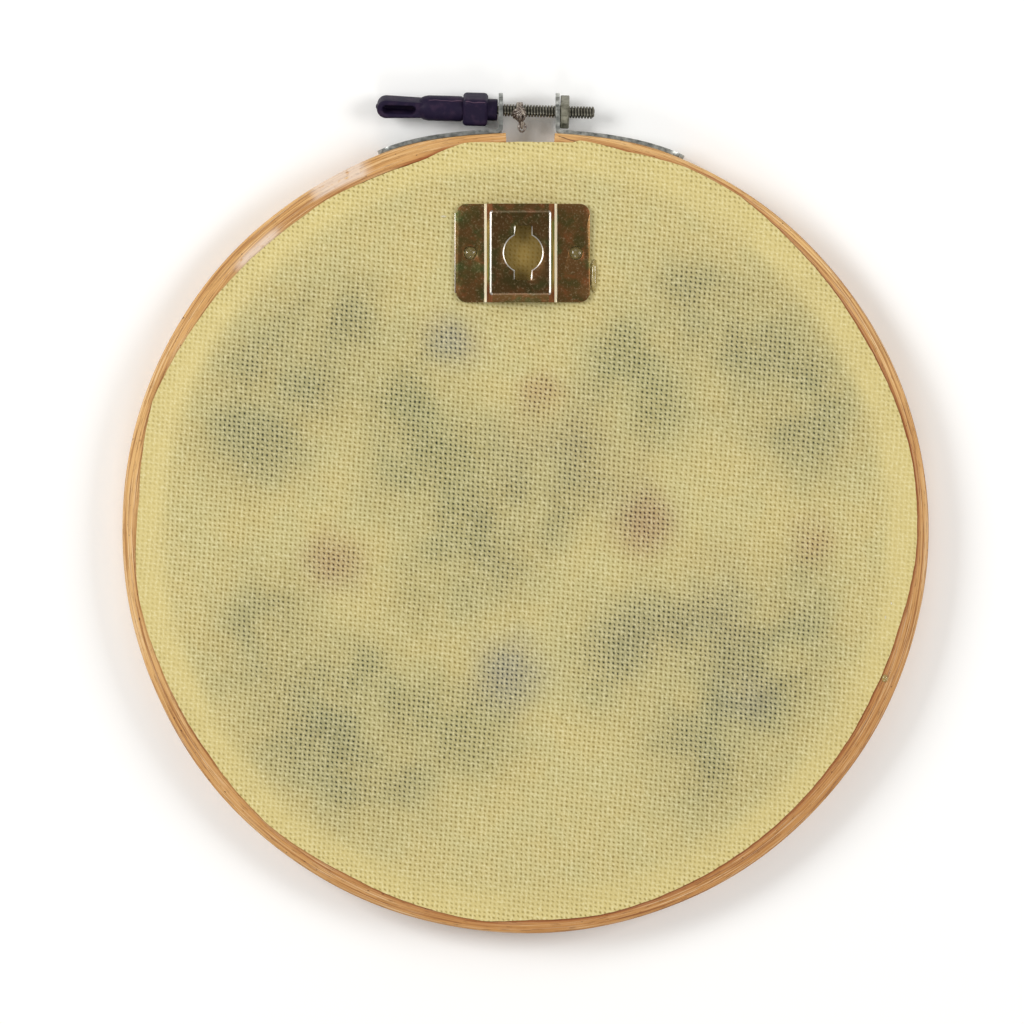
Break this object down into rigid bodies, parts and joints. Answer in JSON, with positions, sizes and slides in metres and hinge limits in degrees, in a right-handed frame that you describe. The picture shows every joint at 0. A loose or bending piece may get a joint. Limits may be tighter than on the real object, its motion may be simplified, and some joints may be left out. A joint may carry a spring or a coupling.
{
  "type": "hoop embroidery art in its wooden screw hoop, seen from the back",
  "caption": "Round embroidery stretched in a split wooden hoop, backed with glued non-woven cloth, with a keyhole hanger plate and a screw clamp.",
  "frame": {"origin": "centre of the footprint box, on the surface that the hoop's front rim lies on", "axes": "+Z out of the back of the work, +Y from the hoop's centre to the screw clamp, +X from the screw's handle to its free end"},
  "size_m": [0.2032, 0.2119, 0.0154],
  "materials": {
    "hoop_wood": "satin pale wood with fine grain round the ring and spots of dried glue",
    "inner_wood": "plain sanded pale wood",
    "ground_cloth": "plain woven cotton, stitched with coloured threads",
    "backing_cloth": "thin yellow non-woven with a fine pattern of bonded dots, the stitching showing through",
    "yellow_zinc": "pressed steel with iridescent yellow zinc plating",
    "clear_glue": "set clear glue",
    "strap_steel": "zinc plated sheet steel",
    "screw_steel": "zinc plated, a little dull",
    "handle_plastic": "dark purple moulded plastic with a fine parting line",
    "metallic_thread": "brown and silver metallic thread"
  },
  "bodies": {
    "hoop": {"outer_hoop": "hoop_wood", "inner_hoop": "inner_wood", "front_cloth": "ground_cloth", "back_cloth": "backing_cloth", "hanger_plate": "yellow_zinc", "glue_rivet_left": "clear_glue", "glue_rivet_right": "clear_glue", "glue_bead": "clear_glue", "strap_left": "strap_steel", "strap_right": "strap_steel"},
    "screw": {"screw_rod": "screw_steel", "screw_handle": "handle_plastic", "thread_knot": "metallic_thread"},
    "nut": {"clamp_nut": "screw_steel"}
  },
  "joints": [
    {"name": "screw_turn", "type": "hinge", "parent": "hoop", "child": "screw", "pos_m": [0, 0.1015, 0.005], "axis": [-0.9996, 0.0297, 0], "range_deg": [0, 2970.5]},
    {"name": "nut_travel", "type": "slide", "parent": "hoop", "child": "nut", "axis": [0.9996, -0.0297, 0], "range_m": [0, 0.00612]}
  ],
  "couplings": [
    {"joint": "screw_turn", "follows": "nut_travel", "rad_per_m": 8467.9}
  ]
}
